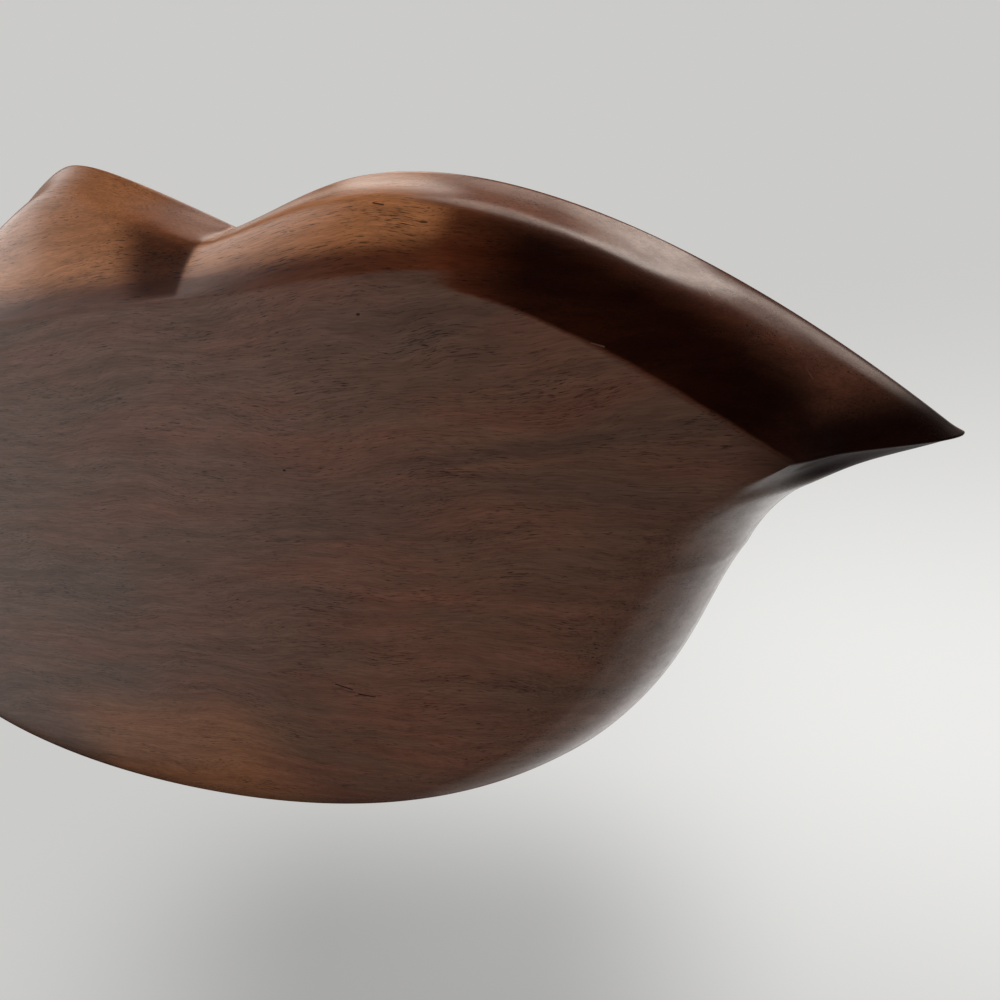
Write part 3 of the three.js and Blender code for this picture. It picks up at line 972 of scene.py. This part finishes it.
def soft_lamp(scene, name, setting, watts):
    """A square lamp that lights the wood and isn't mirrored in its lacquer."""
    place, aim, width = setting
    data = bpy.data.lights.new(name, "AREA")
    data.size = width
    data.energy = watts
    lamp = bpy.data.objects.new(name, data)
    lamp.location = place
    lamp.rotation_mode = "QUATERNION"
    lamp.rotation_quaternion = (Vector(aim) - Vector(place)).to_track_quat("-Z", "Y")
    lamp.visible_camera = False
    lamp.visible_glossy = False
    scene.collection.objects.link(lamp)


def pale_floor(scene, look):
    """A floor that shows from above only, and fades into the backdrop."""
    reach = FLOOR_REACH
    corners = [(-reach, -reach, 0), (reach, -reach, 0), (reach, reach, 0), (-reach, reach, 0)]
    mesh = bpy.data.meshes.new("floor")
    mesh.from_pydata(corners, [], [(0, 1, 2, 3)])
    floor = bpy.data.objects.new("floor", mesh)
    scene.collection.objects.link(floor)
    material = bpy.data.materials.new("pale_floor")
    n = Nodes(material)
    seen = n.value("ShaderNodeLightPath", output="Is Camera Ray")
    below = n.value("ShaderNodeNewGeometry", output="Backfacing")
    away = n.measure("LENGTH", n.node("ShaderNodeTexCoord").outputs["Object"])
    share = seen * (1 - below) * (1 - n.ramp(away, *FLOOR_FADE))
    paint = n.node("ShaderNodeBsdfDiffuse", None, {"Color": n.rgba(look.floor)})
    clear = n.node("ShaderNodeBsdfTransparent")
    mixed = n.node("ShaderNodeMixShader", None, [share, clear.outputs[0], paint.outputs[0]])
    n.node("ShaderNodeOutputMaterial", None, {"Surface": mixed.outputs[0]})
    mesh.materials.append(material)


def studio_world(scene):
    """The backdrop where it is seen directly, and the soft lights for everything else."""
    world = bpy.data.worlds.new("studio")
    scene.world = world
    n = Nodes(world)
    toward = n.node("ShaderNodeTexCoord").outputs["Generated"]
    along = lambda axis: n.measure("DOT_PRODUCT", toward, tuple(Vector(axis).normalized()))
    sideways, upward = along(CAMERA_RIGHT), along(CAMERA_UP)
    shine = n.ramp(sideways, *SHINE_SIDE) * (1 - n.ramp(abs(upward - SHINE_HEIGHT), *SHINE_SPAN))
    shade = n.ramp(-upward, *SHADE_BELOW) * (1 - n.ramp(abs(sideways - SHADE_MIDDLE), *SHADE_SPAN))
    backdrop = BACKDROP_LEVEL + SHINE_STRENGTH * shine - SHADE_STRENGTH * shade
    light = (0.0, 0.0, 0.0)
    for axis, middle, edge, strength, tint in GLOWS.values():
        glow = n.ramp(along(axis), middle - edge, middle + edge) * strength
        light = n.vector_math("ADD", n.scaled(tint, glow), light)
    seen = n.value("ShaderNodeLightPath", output="Is Camera Ray")
    shown = n.vector_math("ADD", n.scaled(light, 1 - seen), n.scaled(DAYLIGHT, backdrop * seen))
    background = n.node("ShaderNodeBackground", None, {"Color": shown, "Strength": 1.0})
    n.node("ShaderNodeOutputWorld", None, {"Surface": background.outputs[0]})


class TRAY_OT_stage(bpy.types.Operator):
    """Sets up the photographed camera, a plain pale floor and soft studio light"""

    bl_idname = "tray.stage"
    bl_label = "Stage"

    def execute(self, context):
        scene = context.scene
        look = scene.stage_look
        photographed_camera(scene)
        scene.view_settings.view_transform = "Standard"
        studio_world(scene)
        pale_floor(scene, look)
        soft_lamp(scene, "front", FRONT_LAMP, look.key_power)
        soft_lamp(scene, "overhead", OVERHEAD_LAMP, look.top_power)
        return {"FINISHED"}


class TRAY_PT_panel(bpy.types.Panel):
    """The tray's sizes, wood and stage"""

    bl_idname = "TRAY_PT_panel"
    bl_label = "Divided serving tray"
    bl_space_type = "VIEW_3D"
    bl_region_type = "UI"
    bl_category = "Tray"

    def draw(self, context):
        layout = self.layout
        for group in GROUPS:
            settings = getattr(context.scene, group)
            box = layout.box()
            for name in settings.bl_rna.properties.keys():
                if name not in ("rna_type", "name"):
                    box.prop(settings, name)
        for operator in OPERATORS:
            layout.operator(operator.bl_idname)


GROUPS = {"tray_sizes": TraySizes, "wood_look": WoodLook, "stage_look": StageLook}
OPERATORS = (TRAY_OT_stage, TRAY_OT_carved_body)


def register():
    for made in (*GROUPS.values(), *OPERATORS, TRAY_PT_panel):
        bpy.utils.register_class(made)
    for name, group in GROUPS.items():
        setattr(bpy.types.Scene, name, bpy.props.PointerProperty(type=group))


def unregister():
    for name in GROUPS:
        delattr(bpy.types.Scene, name)
    for made in (TRAY_PT_panel, *reversed(OPERATORS), *reversed(GROUPS.values())):
        bpy.utils.unregister_class(made)


def main():
    register()
    bpy.ops.tray.stage()
    bpy.ops.tray.carved_body()
    bpy.context.view_layer.update()


if __name__ == "__main__":
    main()
